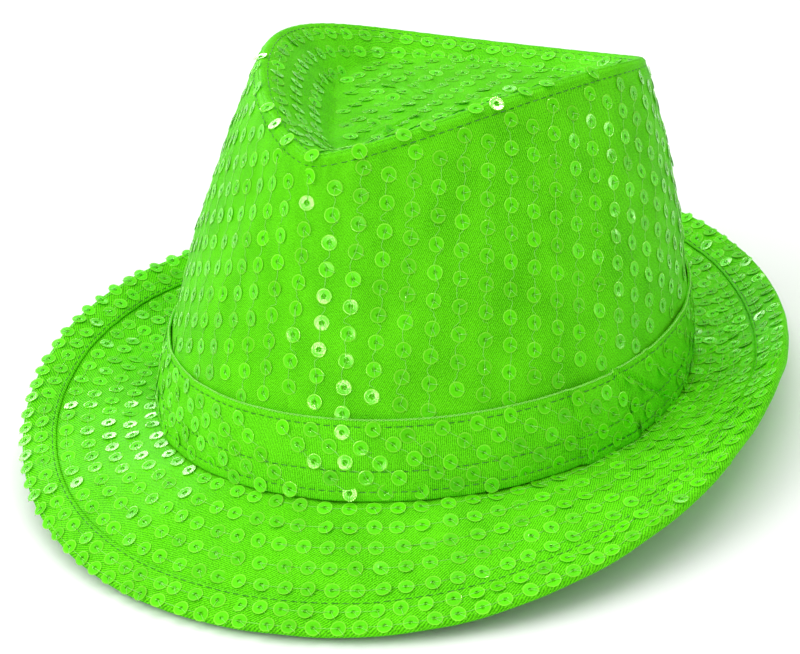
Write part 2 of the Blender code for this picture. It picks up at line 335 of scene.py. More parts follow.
def brim_steepness(angle, part):
    """Cloth length for each unit of part, where part runs 0 at the foot to 1 at the edge."""
    curl = harmonics(angle, BRIM_CURL)
    rise = brim_drop(angle) * curl * np.maximum(part, 0.001) ** (curl - 1.0)
    return np.hypot(brim_width(angle), rise)


def cloth_from_edge(angle, part):
    """Length of brim cloth between the edge and this part of its width."""
    steps = (0.0, 0.25, 0.5, 0.75, 1.0)
    weights = (7.0, 32.0, 12.0, 32.0, 7.0)
    total = sum(weight * brim_steepness(angle, part + (1.0 - part) * step)
                for step, weight in zip(steps, weights))
    return (1.0 - part) * total / sum(weights)


def brim_length(angle):
    return cloth_from_edge(angle, 0.0 * angle)


def brim(angle, inset):
    """Upper face of the brim, this far in from its edge along the cloth."""
    part = 1.0 - inset / brim_length(angle)
    for _ in range(3):
        part = part + (cloth_from_edge(angle, part) - inset) / brim_steepness(angle, part)
    face = foot_point(angle) + foot_normal(angle) * (brim_width(angle) * part)[..., None]
    face[..., 2] += brim_drop(angle) * np.maximum(part, 0.0) ** harmonics(angle, BRIM_CURL)
    return face


def axes_on(face, angle, run):
    """Point, direction round the hat, direction along run, and outward normal."""
    angle, run = np.broadcast_arrays(np.asarray(angle, float), np.asarray(run, float))
    turn, step = 0.006, 0.0004
    across = unit(face(angle + turn, run) - face(angle - turn, run))
    along = face(angle, run + step) - face(angle, run - step)
    normal = unit(np.cross(across, along))
    return face(angle, run), across, np.cross(normal, across), normal


def raised(face, relief):
    """The face, moved along its normal by relief(angle, run)."""
    def moved(angle, run):
        point, _, _, normal = axes_on(face, angle, run)
        return point + normal * relief(*np.broadcast_arrays(angle, run))[..., None]
    return moved


def ripple(angle, run, size):
    """Gentle unevenness of hand-fed cloth."""
    return size * (0.50 * np.sin(9.0 * angle + run * 60.0 + 1.3) * np.sin(run * 130.0 + 0.4)
                   + 0.32 * np.sin(21.0 * angle - run * 110.0 + 2.1)
                   + 0.18 * np.sin(37.0 * angle + run * 290.0 + 0.7))


def pucker(angle, distance, reach, size):
    """Small gathers that a row of stitching pulls into the cloth beside it."""
    wave = (np.sin(104.0 * angle + 2.0 * np.sin(15.0 * angle))
            + 0.6 * np.sin(66.0 * angle + 1.1))
    return size * bump(distance, reach) * wave


def crown_relief(angle, run):
    welt = WELT_HEIGHT * bump(run, WELT_HALF)
    seam = -WELT_SINK * bump(np.abs(run) - WELT_HALF, STITCH_SINK_WIDTH)
    gathers = pucker(angle, np.abs(run) - WELT_HALF, 0.006, 0.00010)
    from_middle = dish_reach(angle) - np.maximum(run, 0.0)
    fade = smooth((np.abs(run) - 0.003) / 0.02) * smooth(from_middle / 0.030)
    return welt + seam + gathers + ripple(angle, run, CROWN_UNEVENNESS) * fade


def brim_relief(angle, inset):
    groove = -BINDING_SINK * bump(inset - BINDING_WIDTH, STITCH_SINK_WIDTH)
    gathers = pucker(angle, inset - BINDING_WIDTH, 0.007, 0.00012)
    return groove + gathers + ripple(angle, inset + 0.2, BRIM_UNEVENNESS)


crown_cloth = raised(crown, crown_relief)
brim_cloth = raised(brim, brim_relief)


def under_brim(angle, inset):
    """Lower face of the brim; run grows outward so that its normal points down."""
    point, _, _, normal = axes_on(brim, angle, -inset)
    return point - normal * BRIM_THICKNESS


def band(angle, height):
    """Outer face of the hat band, this high up the crown wall from its foot."""
    angle, height = np.broadcast_arrays(np.asarray(angle, float), height)
    run = height - wall_length(angle)
    point, _, _, normal = axes_on(crown, angle, run)
    top = bump(height - BAND_HEIGHT, 0.0016)
    foot = bump(height, 0.0025)
    full = 0.0003 * np.sin(math.pi * np.clip(height / BAND_HEIGHT, 0.0, 1.0))
    rows = sum(bump(height - row, 0.0008) for row in BAND_STITCH_ROWS)
    gathers = sum(pucker(angle, height - row, 0.004, 0.00008) for row in BAND_STITCH_ROWS)
    stand = BAND_STAND_OFF + full - 0.0002 * rows + gathers - 0.0004 * foot - 0.0002 * top
    stand = stand + ripple(angle, height + 0.5, BAND_UNEVENNESS) + band_creases(angle, height)
    return point + normal * stand[..., None]


def band_creases(angle, height):
    """Creases where the band is pulled in beside its folded end."""
    relief = 0.0
    for start, lean, depth in BAND_CREASES:
        line = start - lean * (height - 0.5 * BAND_HEIGHT)
        relief = relief - depth * bump(angle - line, 0.022) * smooth(height / 0.012)
    return relief


def band_outer(angle, height):
    """Band, raised where its folded end lies over it."""
    point, _, _, normal = axes_on(band, angle, height)
    end = TAB_TO - TAB_SLANT * height / BAND_HEIGHT
    over = smooth((angle - TAB_FROM + 0.01) / 0.012) * smooth((end - angle + 0.01) / 0.012)
    return point + normal * ((TAB_LIFT + 0.0002) * over)[..., None]


def tab(angle, height):
    """Folded end of the band; its free edge slants toward the top."""
    across = (angle - TAB_FROM) / (TAB_TO - TAB_FROM)
    slant = TAB_SLANT * across * height / BAND_HEIGHT
    point, _, _, normal = axes_on(band, angle - slant, height)
    rolled = smooth(np.minimum(across, 1.0 - across) / 0.10)
    return point + normal * (0.0002 + TAB_LIFT * rolled)[..., None]


# ---------------------------------------------------------------- meshes

def make_mesh(name, vertices, faces, uv=None):
    """Mesh object from points in the level frame, laid to rest."""
    vertices = np.asarray(vertices, float).reshape(-1, 3)
    turn = np.array(REST.to_3x3())
    placed = vertices @ turn.T + np.array(REST.translation)
    mesh = bpy.data.meshes.new(name)
    mesh.from_pydata(placed.tolist(), [], np.asarray(faces).tolist())
    if uv is not None:
        layer = mesh.uv_layers.new(name="cloth")
        layer.data.foreach_set("uv", np.asarray(uv, float).ravel())
    mesh.shade_smooth()
    obj = bpy.data.objects.new(name, mesh)
    bpy.context.scene.collection.objects.link(obj)
    return obj


def finish_piece(obj, material, replaced=()):
    """Give a piece its material, attach it to the root body, and hide the CAD parts it replaces.
    """
    obj.data.materials.append(material)
    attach(obj, "root")
    if replaced:
        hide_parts(*replaced)
    return obj


def grid_faces(rows, columns, closed):
    """Quads of a grid of points, joined end to start along each row where closed."""
    spans = columns if closed else columns - 1
    low = (np.arange(rows - 1)[:, None] * columns + np.arange(spans)[None, :]).ravel()
    step = (np.arange(spans) + 1) % columns
    right = (np.arange(rows - 1)[:, None] * columns + step[None, :]).ravel()
    return np.stack([low, right, right + columns, low + columns], 1)


def cloth_grid(name, face, angles, runs, closed=True, thickness=CLOTH, runs_at=None,
               planar=False):
    """Cloth over a face; texture follows the cloth, or lies flat when cut flat."""
    angle, run = np.meshgrid(angles, runs)
    if runs_at is not None:
        run = runs_at(angle, run)
    surface = face(angle, run)
    faces = grid_faces(len(runs), len(angles), closed)
    if planar:
        uv = surface.reshape(-1, 3)[faces][..., :2]
    else:
        uv = np.stack([angle * MEAN_RADIUS, run], -1).reshape(-1, 2)[faces]
        uv[..., 0] += 2.0 * math.pi * MEAN_RADIUS * (uv[..., 0] < uv[:, :1, 0] - MEAN_RADIUS)
    obj = make_mesh(name, surface, faces, uv)
    thick = obj.modifiers.new("Cloth thickness", "SOLIDIFY")
    thick.thickness = thickness
    thick.offset = -1.0
    return obj


def running_length(line):
    """Length along a line of points, from its start to each point."""
    return np.concatenate([[0.0], np.cumsum(np.linalg.norm(np.diff(line, axis=0), axis=1))])


def around(count):
    return np.linspace(0.0, 2.0 * math.pi, count, endpoint=False)


# ---------------------------------------------------------------- materials

def new_material(name):
    material = bpy.data.materials.new(name)
    material.use_nodes = True
    nodes = material.node_tree.nodes
    return material, nodes, material.node_tree.links, nodes["Principled BSDF"]


def set_inputs(node, **values):
    """Set a node's inputs by name, with underscores for spaces."""
    for key, value in values.items():
        node.inputs[key.replace("_", " ")].default_value = value


def remap(nodes, links, value, **limits):
    """Map Range node on a value."""
    node = nodes.new("ShaderNodeMapRange")
    set_inputs(node, **limits)
    links.new(value, node.inputs["Value"])
    return node


def noise(nodes, links, place, **values):
    """Noise read at a place."""
    node = nodes.new("ShaderNodeTexNoise")
    set_inputs(node, **values)
    links.new(place, node.inputs["Vector"])
    return node.outputs["Fac"]


def scaled(nodes, links, value, factor, plus=None):
    """A value times a factor, plus another value where there is one."""
    node = nodes.new("ShaderNodeMath")
    node.operation = "MULTIPLY" if plus is None else "MULTIPLY_ADD"
    links.new(value, node.inputs[0])
    node.inputs[1].default_value = factor
    if plus is not None:
        links.new(plus, node.inputs[2])
    return node.outputs[0]


def ramp(nodes, links, value, dark, light, start=0.0, stop=1.0):
    """Colour that runs from dark to light as the value runs from start to stop."""
    node = nodes.new("ShaderNodeValToRGB")
    low, high = node.color_ramp.elements
    low.position, high.position = start, stop
    low.color, high.color = dark, light
    links.new(value, node.inputs["Fac"])
    return node.outputs["Color"]


def colour_mix(nodes, links, factor, **colours):
    """Mix node for colours, led by a factor."""
    node = nodes.new("ShaderNodeMix")
    node.data_type = "RGBA"
    set_inputs(node, **colours)
    links.new(factor, node.inputs["Factor"])
    return node


def emboss(nodes, links, shader, height, strength, distance):
    """Bump the shader's normal by a height."""
    node = nodes.new("ShaderNodeBump")
    set_inputs(node, Strength=strength, Distance=distance)
    links.new(height, node.inputs["Height"])
    links.new(node.outputs["Normal"], shader.inputs["Normal"])
    return node


def twill_weave(nodes, links, uv, turned):
    """Fine slanting ribs, broken up by the specks of single fibres."""
    ribs = nodes.new("ShaderNodeTexWave")
    ribs.wave_type = "BANDS"
    ribs.bands_direction = "X"
    set_inputs(ribs, Scale=480.0, Distortion=1.6, Detail=2.0, Detail_Scale=2.0)
    links.new(turned, ribs.inputs["Vector"])
    speckle = noise(nodes, links, uv, Scale=2300.0, Detail=2.0, Roughness=0.8)
    return scaled(nodes, links, ribs.outputs["Fac"], 0.26, scaled(nodes, links, speckle, 0.95))


def cloth_material(name, dark, light, twill_turn=45.0):
    """Satin twill with a cloudy tone, pale flecks that are partly fibres and partly painted sheen,
    and a faint shader sheen.
    """
    material, nodes, links, shader = new_material(name)
    uv = nodes.new("ShaderNodeTexCoord").outputs["UV"]
    mapping = nodes.new("ShaderNodeMapping")
    set_inputs(mapping, Rotation=(0.0, 0.0, math.radians(twill_turn)))
    links.new(uv, mapping.inputs["Vector"])
    turned = mapping.outputs["Vector"]
    weave = twill_weave(nodes, links, uv, turned)
    cloud = noise(nodes, links, uv, Scale=45.0, Detail=3.0, Roughness=0.55)
    tone = scaled(nodes, links, cloud, 0.3, weave)
    # Pale flecks: partly fibres of the cloth, partly a painted sheen speckle
    fibres = noise(nodes, links, turned, Scale=1700.0, Detail=3.0, Roughness=0.9)
    fibre_and_sheen_fleck = remap(nodes, links, fibres, From_Min=0.54, From_Max=0.74, To_Max=0.8)
    colour = colour_mix(nodes, links, fibre_and_sheen_fleck.outputs["Result"], B=FIBRE_AND_SHEEN_GREEN)
    links.new(ramp(nodes, links, tone, dark, light, 0.54, 0.88), colour.inputs["A"])
    links.new(colour.outputs["Result"], shader.inputs["Base Color"])
    emboss(nodes, links, shader, weave, strength=0.5, distance=0.00012)
    set_inputs(shader, Roughness=0.48, Specular_IOR_Level=0.02, Specular_Tint=SHEEN_TINT,
               Sheen_Weight=0.025, Sheen_Roughness=0.4, Sheen_Tint=SHEEN_TINT)
    return material


def sequin_material(name, body, rim):
    """Glossy see-through film with a painted highlight on a ring round its rim, each disc a little
    different.
    """
    material, nodes, links, shader = new_material(name)
    split = nodes.new("ShaderNodeSeparateXYZ")
    links.new(nodes.new("ShaderNodeTexCoord").outputs["UV"], split.inputs["Vector"])
    # Painted highlight: the outer ring of each disc takes the paler rim colour
    edge = remap(nodes, links, split.outputs["X"], From_Min=0.80, From_Max=0.96)
    colour = colour_mix(nodes, links, edge.outputs["Result"], A=body, B=rim)
    island = nodes.new("ShaderNodeNewGeometry").outputs["Random Per Island"]
    vary = remap(nodes, links, island, To_Min=0.86, To_Max=1.10)
    tint = nodes.new("ShaderNodeVectorMath")
    tint.operation = "SCALE"
    links.new(colour.outputs["Result"], tint.inputs[0])
    links.new(vary.outputs["Result"], tint.inputs["Scale"])
    links.new(tint.outputs["Vector"], shader.inputs["Base Color"])
    film = nodes.new("ShaderNodeTexNoise")
    set_inputs(film, Scale=600.0, Detail=2.0)
    gloss = remap(nodes, links, film.outputs["Fac"], To_Min=0.12, To_Max=0.22)
    links.new(gloss.outputs["Result"], shader.inputs["Roughness"])
    set_inputs(shader, Alpha=SEQUIN_OPACITY, Specular_IOR_Level=0.30, Specular_Tint=GLINT_TINT)
    return material


def darkened(colour, part):
    return tuple(part * channel for channel in colour[:3]) + (1.0,)


def thread_material(name, colour):
    """Twisted polyester sewing thread."""
    material, nodes, links, shader = new_material(name)
    place = nodes.new("ShaderNodeTexCoord").outputs["Object"]
    twist = noise(nodes, links, place, Scale=2500.0, Detail=1.0)
    shade = ramp(nodes, links, twist, darkened(colour, 0.75), colour)
    links.new(shade, shader.inputs["Base Color"])
    set_inputs(shader, Roughness=0.45, Specular_IOR_Level=0.35)
    return material


def plain_cloth_material(name, dark, light, scale):
    """Woven lining cloth: two crossing sets of threads."""
    material, nodes, links, shader = new_material(name)
    weave = nodes.new("ShaderNodeTexBrick")
    weave.offset = 0.5
    set_inputs(weave, Scale=scale, Color1=light, Color2=darkened(light, 0.8), Mortar=dark,
               Mortar_Size=0.10, Brick_Width=0.5, Row_Height=0.25)
    links.new(nodes.new("ShaderNodeTexCoord").outputs["UV"], weave.inputs["Vector"])
    links.new(weave.outputs["Color"], shader.inputs["Base Color"])
    emboss(nodes, links, shader, weave.outputs["Fac"], strength=0.4, distance=0.0001).invert = True
    set_inputs(shader, Roughness=0.62, Specular_IOR_Level=0.3, Sheen_Weight=0.1)
    return material


# ---------------------------------------------------------------- sequins and threads

def sequin_template():
    """Ring of points: hole edge, inner film, outer film, rim, and the underside."""
    profile = ((SEQUIN_HOLE, 0.00001), (0.0010, 0.00003), (0.0021, 0.00003),
               (0.00238, 0.00006), (SEQUIN_RADIUS, 0.00002), (0.00246, -0.00003),
               (SEQUIN_HOLE + 0.00005, -0.00005))
    turn = around(SEQUIN_SEGMENTS)
    rings = [points(r * np.cos(turn), r * np.sin(turn), z) for r, z in profile]
    radius = [np.full(SEQUIN_SEGMENTS, r / SEQUIN_RADIUS) for r, _ in profile]
    count = len(profile)
    faces = grid_faces(count, SEQUIN_SEGMENTS, True)
    last = grid_faces(2, SEQUIN_SEGMENTS, True)
    close = np.where(last >= SEQUIN_SEGMENTS, last - SEQUIN_SEGMENTS,
                     last + (count - 1) * SEQUIN_SEGMENTS)
    return np.concatenate(rings), np.concatenate([faces, close])[:, ::-1], np.concatenate(radius)


def copies(template, faces, centre, across, along, normal):
    """One mesh holding the template at every centre."""
    spread = (centre[:, None, :] + template[None, :, 0:1] * across[:, None, :]
              + template[None, :, 1:2] * along[:, None, :]
              + template[None, :, 2:3] * normal[:, None, :])
    shift = np.arange(len(centre))[:, None, None] * len(template)
    return spread.reshape(-1, 3), (faces[None] + shift).reshape(-1, 4)


def tilted(across, along, normal, lean):
    """Axes leaned by small random amounts, and the lift that keeps each disc off the cloth."""
    first = rng.normal(0.0, lean, (len(normal), 1))
    second = rng.normal(0.0, lean, (len(normal), 1))
    new_normal = unit(normal + across * first + along * second)
    new_across = unit(across - new_normal * (across * new_normal).sum(-1, keepdims=True))
    clear = 0.45 * SEQUIN_RADIUS * np.hypot(first, second)
    return new_across, np.cross(new_normal, new_across), new_normal, SEQUIN_LIFT + clear


def tubes(paths, normals, radius):
    """Four-sided threads along many paths of equal length."""
    count, steps = paths.shape[:2]
    forward = unit(np.gradient(paths, axis=1) + 1e-12)
    side = unit(np.cross(forward, normals))
    up = np.cross(side, forward)
    ring = np.stack([paths + side * radius, paths + up * radius,
                     paths - side * radius, paths - up * radius], 2)
    vertices = ring.reshape(-1, 3)
    base = grid_faces(steps, 4, True)
    caps = np.array([[3, 2, 1, 0], [0, 1, 2, 3]])
    caps[1] += (steps - 1) * 4
    one = np.concatenate([base[:, ::-1], caps[:, ::-1]])
    faces = one[None] + np.arange(count)[:, None, None] * steps * 4
    return vertices, faces.reshape(-1, 4)


def sew_sequins(name, face, spots, column_ends, lean, material, thread):
    """Sequins at (angle, run) spots on a face, and the thread that holds them."""
    angle, run = spots[:, 0], spots[:, 1]
    centre, across, along, normal = axes_on(face, angle, run)
    new_across, new_along, new_normal, lift = tilted(across, along, normal, lean)
    template, faces, radius = sequin_template()
    vertices, polygons = copies(template, faces, centre + normal * lift,
                                new_across, new_along, new_normal)
    uv = np.stack([np.tile(radius, len(centre)), np.zeros(len(vertices))], 1)[polygons]
    discs = make_mesh(name, vertices, polygons, uv)
    finish_piece(discs, material)
    tack = tack_threads(centre + normal * lift, new_across, new_along, new_normal)
    run_on = running_threads(centre, normal, across, column_ends)
    parts = [tubes(path, up, SEW_THREAD) for path, up in (tack, run_on) if len(path)]
    offset = 0
    all_points, all_faces = [], []
    for part_points, part_faces in parts:
        all_points.append(part_points)
        all_faces.append(part_faces + offset)
        offset += len(part_points)
    sewing = make_mesh(name + "_thread", np.concatenate(all_points), np.concatenate(all_faces))
    finish_piece(sewing, thread)


def tack_threads(centre, across, along, normal):
    """Thread that comes up through the hole and goes down over the disc's edge."""
    heading = rng.normal(-0.7, 0.35, len(centre))[:, None]
    outward = across * np.cos(heading) + along * np.sin(heading)
    steps = ((0.0, -0.00012), (0.00022, 0.00016), (0.0013, 0.00018),
             (0.0024, 0.00019), (0.0027, 0.00005), (0.0028, -0.00026))
    path = np.stack([centre + outward * reach + normal * height for reach, height in steps], 1)
    return path, np.repeat(normal[:, None, :], len(steps), 1)


def running_threads(centre, normal, across, column_ends):
    """Loose thread on the cloth from each disc to the next one in its column."""
    here = np.array([i for i in range(len(centre) - 1) if not column_ends[i]], int)
    if not len(here):
        return np.zeros((0, 2, 3)), np.zeros((0, 2, 3))
    start, stop = centre[here], centre[here + 1]
    sway = rng.normal(0.0, 0.0008, (len(here), 3))
    path, ups = [], []
    for index, part in enumerate((0.02, 0.30, 0.42, 0.55, 0.68, 0.98)):
        shift = sway[:, index // 2][:, None] if 0 < index < 5 else 0.0
        spot = start + (stop - start) * part + across[here] * shift
        up = unit(normal[here] * (1.0 - part) + normal[here + 1] * part)
        height = 0.00050 if index in (0, 5) else 0.00016
        path.append(spot + up * height)
        ups.append(up)
    return np.stack(path, 1), np.stack(ups, 1)


def spaced_angles(face, run_of, pitch):
    """Angles that step round a face at an even pitch."""
    fine = np.linspace(0.0, 2.0 * math.pi, 1441)
    length = running_length(face(fine, run_of(fine)))
    count = max(int(round(length[-1] / pitch)), 1)
    return np.interp(np.arange(count) * length[-1] / count, length, fine)


def topstitch(name, face, run_of, material, replaced):
    """Row of separate stitches along a face."""
    fine = np.linspace(0.0, 2.0 * math.pi, 2881)
    length = running_length(face(fine, run_of(fine)))
    count = int(length[-1] / STITCH_PITCH)
    begin = np.arange(count) * length[-1] / count
    part = np.array([0.0, 0.12, 0.5, 0.88, 1.0])
    height = np.array([-0.00025, 0.00010, 0.00016, 0.00010, -0.00025])
    reach = begin[:, None] + part[None, :] * STITCH_LENGTH
    angle = np.interp(reach, length, fine)
    centre, _, _, normal = axes_on(face, angle, run_of(angle))
    vertices, faces = tubes(centre + normal * height[None, :, None], normal, TOPSTITCH_THREAD)
    return finish_piece(make_mesh(name, vertices, faces), material, replaced)


# ---------------------------------------------------------------- pieces of the hat

def crown_side_spots():
    """Straight columns up the crown from its centre front, meeting at the back seam."""
    half = np.linspace(0.0, math.pi, 361)
    highest = wall_length(half).max()
    rows = []
    for level in np.arange(0.0, highest, SEQUIN_PITCH / 2.0):
        run = np.maximum(-level - CREST_MARGIN, -wall_length(half))
        rows.append((level, running_length(crown(half, run))))
    spots, ends = [], []
    for side in (1.0, -1.0):
        for column in range(0 if side > 0 else 1, MOST_COLUMNS):
            found = crown_column(column, rows[column % 2::2], half, highest)
            spots += [(side * angle, run) for angle, run in found]
            ends += [False] * (len(found) - 1) + [True] if found else []
    return np.array(spots), ends


def crown_column(column, rows, half, highest):
    """Spots down one column, between the crest and the band and short of the back seam."""
    found = []
    for level, length in rows:
        taper = 1.0 - COLUMN_TAPER * (1.0 - level / highest)
        reach = column * COLUMN_PITCH * taper
        angle = np.interp(reach, length, half)
        run = -level - CREST_MARGIN
        above_band = run >= -wall_length(angle) + BAND_HEIGHT + BAND_MARGIN
        if reach <= length[-1] - BACK_SEAM_MARGIN and above_band:
            found.append((angle, run))
    return found


def crown_tip_spots():
    """Rows from front to back on the floor of the dish."""
    angles = np.linspace(-math.pi, math.pi, 721)
    outline = crest_point(angles)
    toward = np.arctan2(outline[:, 0], -(outline[:, 1] - DISH_CENTRE_Y))
    order = np.argsort(toward)
    spots, ends = [], []
    for row in range(-TIP_ROWS_EACH_SIDE, TIP_ROWS_EACH_SIDE + 1):
        found = []
        for index in range(TIP_ROWS_LENGTH):
            y = TIP_ROWS_START + index * SEQUIN_PITCH + (SEQUIN_PITCH / 2.0 if row % 2 else 0.0)
            direction = np.array([row * TIP_ROW_PITCH, y - DISH_CENTRE_Y])
            bearing = math.atan2(direction[0], -direction[1])
            angle = np.interp(bearing, toward[order], angles[order])
            inset = dish_reach(angle) - np.hypot(*direction)
            if inset > dish_slope(angle) + DISH_FLOOR_MARGIN:
                found.append((float(angle), float(inset)))
        spots += found
        ends += [False] * (len(found) - 1) + [True] if found else []
    return np.array(spots), ends


def crest_spots():
    """Odd sequins on the crest seam, round its front half."""
    ridge = spaced_angles(crown_cloth, np.zeros_like, CREST_DISC_PITCH)
    ridge = wrap(ridge + rng.normal(0.0, 0.03, len(ridge)))
    ridge = ridge[(ridge > CREST_DISCS_FROM) & (ridge < CREST_DISCS_TO)]
    spots = np.stack([ridge, rng.normal(0.0, 0.0006, len(ridge))], 1)
    return spots, [True] * len(ridge)


def dish_wall_spots():
    """Rings down the steep sides of the dish, as far as its floor."""
    spots, ends = ring_spots(crown, DISH_RINGS, DISH_RING_PITCH)
    kept = spots[:, 1] < dish_slope(spots[:, 0]) + DISH_RING_MARGIN
    last = np.append(~kept[1:], True)
    return spots[kept], list((np.array(ends) | last)[kept])


def ring_spots(face, insets, pitch):
    """Concentric rows of sequins, neighbours staggered."""
    spots, ends = [], []
    for index, inset in enumerate(insets):
        angles = spaced_angles(face, lambda a: np.full_like(a, inset), pitch)
        step = 2.0 * math.pi / len(angles)
        angles = angles + (step / 2.0 if index % 2 else 0.0)
        angles = angles + rng.normal(0.0, 0.004, len(angles))
        spots += [(angle, inset) for angle in angles]
        ends += [False] * (len(angles) - 1) + [True]
    return np.array(spots), ends


def brim_spots(face, sign):
    """Rows round the brim, spaced evenly between the crown and the binding."""
    spots, ends = [], []
    for row in range(BRIM_ROW_COUNT):
        def inset_of(angle, row=row):
            room = brim_length(angle) - BRIM_ROWS_INNER - BRIM_ROWS_OUTER
            return sign * (BRIM_ROWS_OUTER + room * row / (BRIM_ROW_COUNT - 1))
        angles = spaced_angles(face, inset_of, BRIM_ROW_PITCH)
        step = 2.0 * math.pi / len(angles)
        angles = angles + (step / 2.0 if row % 2 else 0.0) + rng.normal(0.0, 0.004, len(angles))
        spots += list(zip(angles, inset_of(angles)))
        ends += [False] * (len(angles) - 1) + [True]
    return np.array(spots), ends


def band_spots():
    """Slanting rows: the band is cut on the bias."""
    spots, ends = [], []
    length = 2.0 * math.pi * MEAN_RADIUS
    columns = int(length / BAND_ROW_PITCH)
    for column in range(columns):
        drop = rng.uniform(-0.0012, 0.0012)
        for index in range(BAND_ROW_COUNT):
            along = column * BAND_ROW_PITCH + index * BAND_STEP_ALONG
            height = BAND_ROW_TOP + drop - index * BAND_STEP_DOWN
            spots.append((along / MEAN_RADIUS + rng.normal(0.0, 0.003), height))
            ends.append(index == BAND_ROW_COUNT - 1)
    return np.array(spots), ends


def build_crown(green, sequin, thread, stitch):
    count = 360
    wall_rows = np.linspace(0.0, 1.0, 70)
    side = cloth_grid("crown_side_cloth", crown_cloth, around(count), wall_rows,
                      runs_at=lambda a, r: -(1.0 - r) * (wall_length(a) - 0.0008))
    finish_piece(side, green, ("crown_side_panel", "crown_side_stiffener"))
    tip_rows = np.concatenate([np.linspace(0.0, 0.3, 22), np.linspace(0.33, 0.999, 34)])
    tip = cloth_grid("crown_tip_cloth", crown_cloth, around(count), tip_rows, planar=True,
                     runs_at=lambda a, r: r * dish_reach(a))
    finish_piece(tip, green, ("crown_tip_panel", "crown_tip_stiffener"))
    rows = (("crown_side_sequins", crown_side_spots, CROWN_LEAN),
            ("crown_tip_sequins", crown_tip_spots, TIP_LEAN),
            ("dish_wall_sequins", dish_wall_spots, DISH_WALL_LEAN),
            ("crest_sequins", crest_spots, CREST_LEAN))
    for name, layout, lean in rows:
        sew_sequins(name, crown_cloth, *layout(), lean, sequin, thread)
    topstitch("crest_stitches_side", crown_cloth, lambda a: np.full_like(a, -WELT_HALF),
              stitch, ("crest_stitch_side",))
    topstitch("crest_stitches_tip", crown_cloth, lambda a: np.full_like(a, WELT_HALF),
              stitch, ("crest_stitch_tip",))


def build_brim(green, sequin, thread, stitch):
    count = 400
    rows = np.linspace(1.0, 0.0, 40)

    def inset(a, r):
        return (BINDING_WIDTH - 0.002) + r * (brim_length(a) + 0.0035 - BINDING_WIDTH + 0.002)

    top = cloth_grid("brim_top_cloth", brim_cloth, around(count), rows[::-1], runs_at=inset)
    finish_piece(top, green, ("brim_top_panel", "brim_stiffener"))
    under = cloth_grid("brim_under_cloth", under_brim, around(count), rows,
                       runs_at=lambda a, r: -inset(a, r))
    finish_piece(under, green, ("brim_under_panel",))
    build_binding(green, sequin, thread, stitch, count)
    spots, ends = brim_spots(brim_cloth, 1.0)
    sew_sequins("brim_top_sequins", brim_cloth, spots, ends, BRIM_LEAN, sequin, thread)
    spots, ends = brim_spots(under_brim, -1.0)
    sew_sequins("brim_under_sequins", under_brim, spots, ends, BRIM_UNDER_LEAN, sequin, thread)


def binding_face(angle, along):
    """Binding cloth: along runs from its underside edge, round the rim, to its top edge."""
    angle, along = np.broadcast_arrays(np.asarray(angle, float), np.asarray(along, float))
    half = BINDING_WIDTH / 2.0
    turn = BINDING_EDGE * 1.2
    inset = np.abs(along) - turn
    point, across, toward, normal = axes_on(brim_cloth, angle, np.maximum(inset, 0.0))
    bend = np.clip(along / turn, -1.0, 1.0) * math.pi / 2.0
    thick = BRIM_THICKNESS / 2.0 + 0.0006
    middle = point - normal * (BRIM_THICKNESS / 2.0)
    plump = 0.0002 * bump(np.abs(along) - half, half)
    plump = plump + binding_creases(angle, along)
    lift = thick * np.sin(bend) + np.sign(along) * plump
    out = BINDING_EDGE * np.cos(bend)
    return middle + normal * lift[..., None] - toward * out[..., None]


def binding_creases(angle, along):
    """Slanting creases where the strip is eased round the outline."""
    patches = smooth(0.5 + np.sin(3.0 * angle + 0.8) * np.sin(8.0 * angle))
    slant = np.sin(96.0 * angle - along * 620.0) + 0.5 * np.sin(58.0 * angle - along * 400.0)
    return 0.00016 * patches * slant * bump(np.abs(along) - 0.0065, 0.0055)


def build_binding(green, sequin, thread, stitch, count):
    along = np.concatenate([np.linspace(-BINDING_WIDTH, -0.002, 12),
                            np.linspace(-0.0016, 0.0016, 11),
                            np.linspace(0.002, BINDING_WIDTH, 12)])
    strip = cloth_grid("brim_binding_cloth", binding_face, around(2 * count), along,
                       thickness=0.0004)
    finish_piece(strip, green, ("brim_binding",))
    spots, ends = ring_spots(binding_face, BINDING_RINGS, BINDING_RING_PITCH)
    spots[:, 1] -= BINDING_OVERHANG * np.cos(spots[:, 0] - BINDING_OVERHANG_AT)
    sew_sequins("brim_binding_sequins", binding_face, spots, ends, BINDING_LEAN, sequin, thread)
    spots, ends = ring_spots(binding_face, BINDING_UNDER_RINGS, BINDING_UNDER_RING_PITCH)
    sew_sequins("brim_binding_under_sequins", binding_face, spots, ends, BINDING_UNDER_LEAN,
                sequin, thread)
    topstitch("brim_binding_stitches", binding_face,
              lambda a: np.full_like(a, BINDING_WIDTH - 0.0012), stitch,
              ("brim_binding_stitch",))


def build_band(cloth, sequin, thread, stitch):
    rows = np.concatenate([np.linspace(0.0004, 0.0225, 40), np.linspace(0.0230, BAND_HEIGHT, 10)])
    strip = cloth_grid("hat_band_cloth", band, around(720), rows, thickness=0.0007)
    finish_piece(strip, cloth, ("hat_band",))
    end = cloth_grid("hat_band_end_tab_cloth", tab, np.linspace(TAB_FROM, TAB_TO, 40), rows,
                     closed=False, thickness=0.0007)
    finish_piece(end, cloth, ("hat_band_end_tab",))
    spots, ends = band_spots()
    sew_sequins("hat_band_sequins", band_outer, spots, ends, BAND_LEAN, sequin, thread)
    overlock_edge(thread)
    names = ("lower", "middle", "upper")
    for name, height in zip(names, BAND_STITCH_ROWS):
        topstitch("hat_band_stitches_" + name, band_outer, lambda a, h=height: np.full_like(a, h),
                  stitch, ("band_stitch_" + name,))


